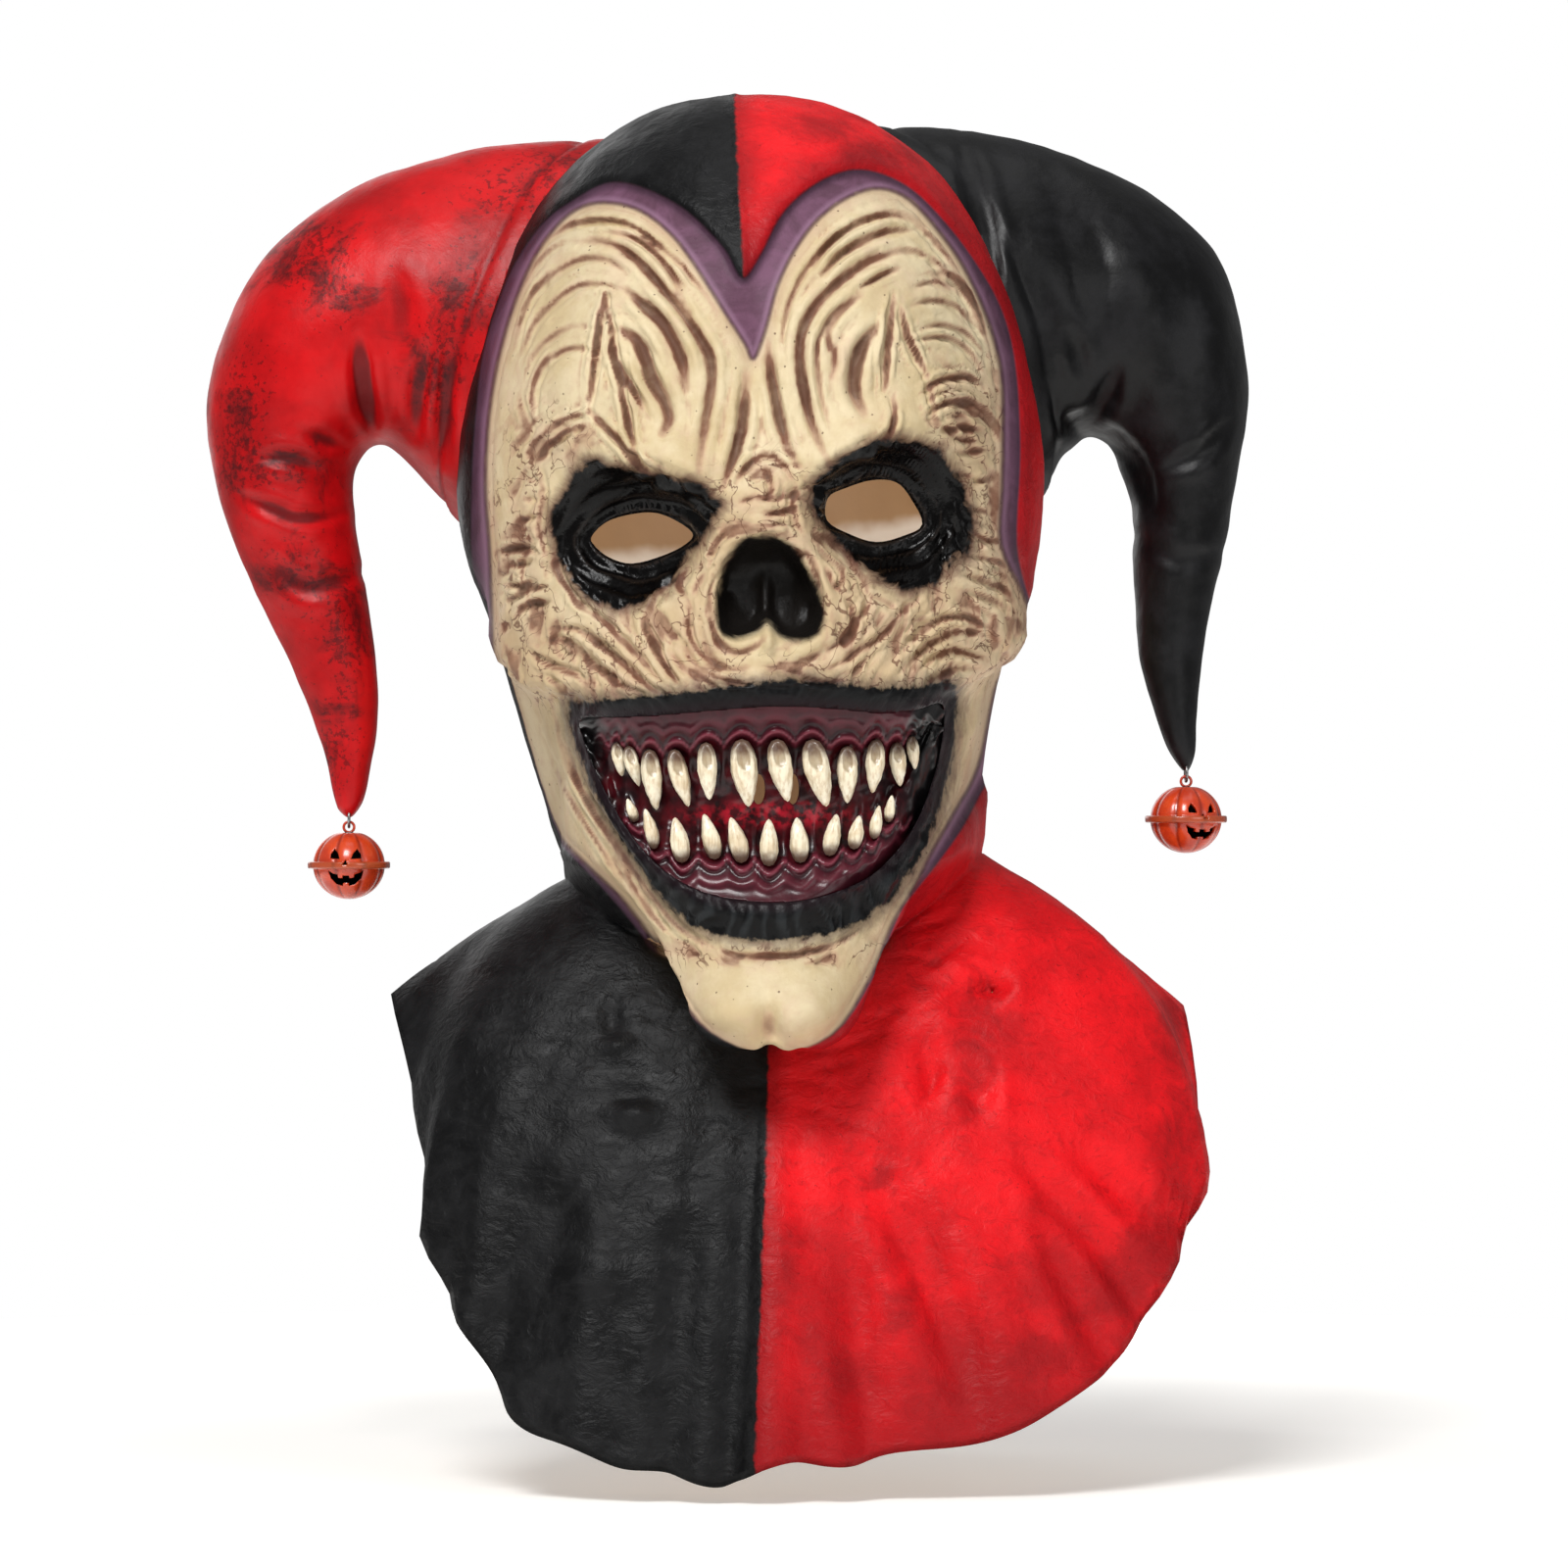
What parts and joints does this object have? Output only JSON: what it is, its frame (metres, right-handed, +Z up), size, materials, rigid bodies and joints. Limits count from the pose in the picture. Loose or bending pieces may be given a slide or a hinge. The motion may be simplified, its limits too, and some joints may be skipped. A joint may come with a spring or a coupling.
{
  "type": "full head jester mask",
  "caption": "Hollow latex jester mask with hood, fanged skull face and shoulder bib, two drooping horns and a swinging pumpkin bell at each horn's tip.",
  "frame": {"origin": "inside the crown, where the top of a head bears on the latex", "axes": "+Z up, -Y the way the face looks, +X to the right in the front view"},
  "size_m": [0.3205, 0.2103, 0.4165],
  "materials": {
    "painted_latex": "painted latex, satin",
    "red_latex": "painted latex, satin",
    "black_latex": "painted latex, satin",
    "gum_latex": "glossy painted latex",
    "tooth_paint": "glossy painted latex",
    "bell_paint": "gloss paint on thin steel",
    "steel_wire": "drawn wire"
  },
  "bodies": {
    "mask": {"mask_shell": "painted_latex", "horn_red": "red_latex", "horn_black": "black_latex", "gum_plate": "gum_latex", "wire_ring_red": "steel_wire", "wire_ring_black": "steel_wire", "upper_fang_01": "tooth_paint", "upper_fang_02": "tooth_paint", "upper_fang_03": "tooth_paint", "upper_fang_04": "tooth_paint", "upper_fang_05": "tooth_paint", "upper_fang_06": "tooth_paint", "upper_fang_07": "tooth_paint", "upper_fang_08": "tooth_paint", "upper_fang_09": "tooth_paint", "upper_fang_10": "tooth_paint", "upper_fang_11": "tooth_paint", "upper_fang_12": "tooth_paint", "lower_fang_01": "tooth_paint", "lower_fang_02": "tooth_paint", "lower_fang_03": "tooth_paint", "lower_fang_04": "tooth_paint", "lower_fang_05": "tooth_paint", "lower_fang_06": "tooth_paint", "lower_fang_07": "tooth_paint", "lower_fang_08": "tooth_paint", "lower_fang_09": "tooth_paint", "lower_fang_10": "tooth_paint", "lower_fang_11": "tooth_paint"},
    "red_bell": {"bell_red": "bell_paint"},
    "black_bell": {"bell_black": "bell_paint"}
  },
  "joints": [
    {"name": "red_bell_swing", "type": "hinge", "parent": "mask", "child": "red_bell", "pos_m": [-0.1225, 0.009, -0.2217], "axis": [0, 1, 0], "range_deg": [-60, 60]},
    {"name": "black_bell_swing", "type": "hinge", "parent": "mask", "child": "black_bell", "pos_m": [0.135, 0.009, -0.2077], "axis": [0, 1, 0], "range_deg": [-60, 60]}
  ]
}
